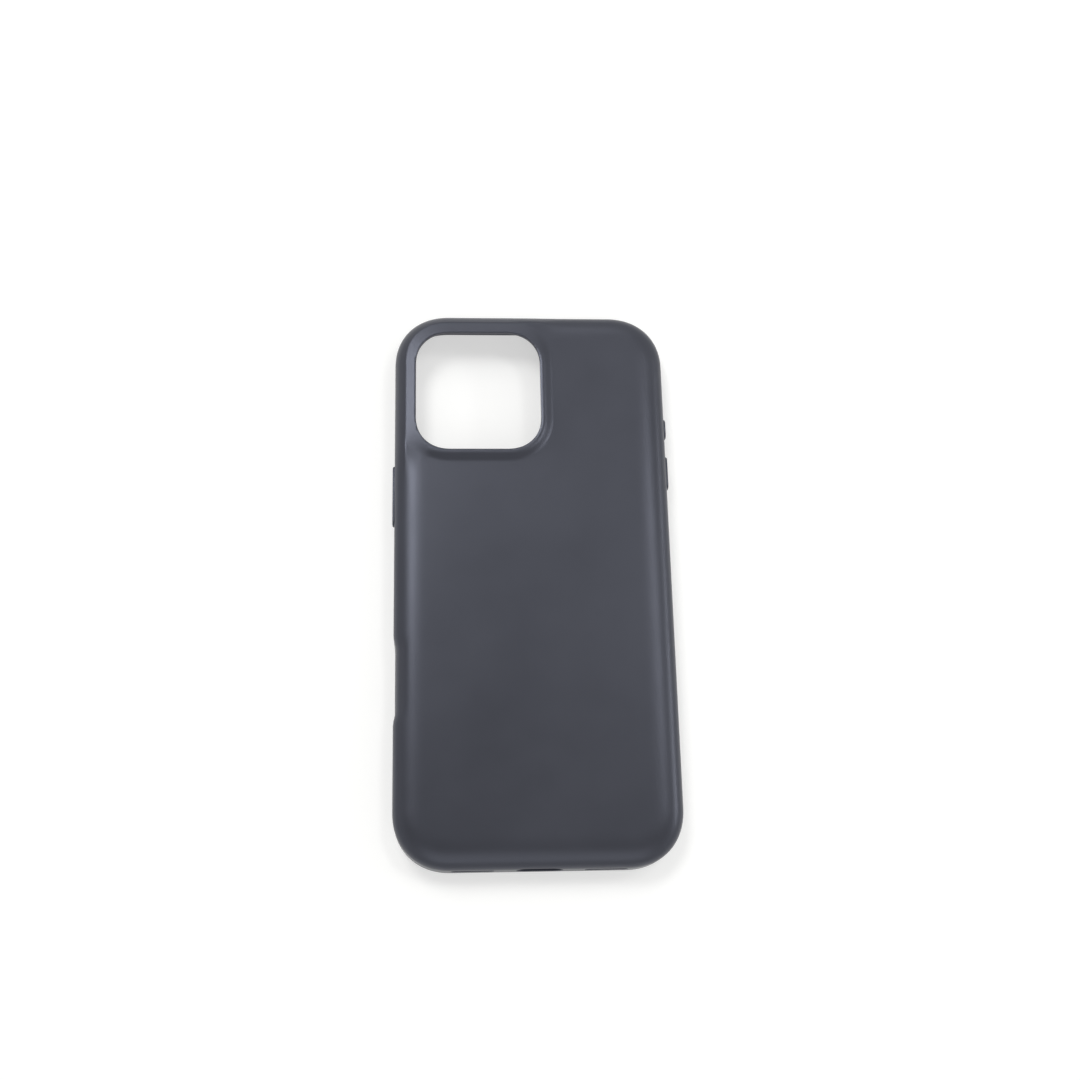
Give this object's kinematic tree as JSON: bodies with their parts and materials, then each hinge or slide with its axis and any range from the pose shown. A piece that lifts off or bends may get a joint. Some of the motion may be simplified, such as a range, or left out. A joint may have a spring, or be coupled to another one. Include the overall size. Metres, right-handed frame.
{
  "type": "silicone phone case",
  "caption": "Soft moulded case for a large phone, open at the screen, with a ringed camera window, raised key covers, a scooped control opening and port openings.",
  "frame": {"origin": "centre of the bounding box's underside, on the plane of the rim that the case lies on", "axes": "+Z out of the back, +Y towards the camera end, +X to the right in a view of the back with the camera end up"},
  "size_m": [0.0824, 0.1666, 0.0117],
  "materials": {
    "silicone": "matte, soft-touch moulded silicone"
  },
  "bodies": {
    "root": {"phone_case": "silicone"}
  },
  "joints": []
}
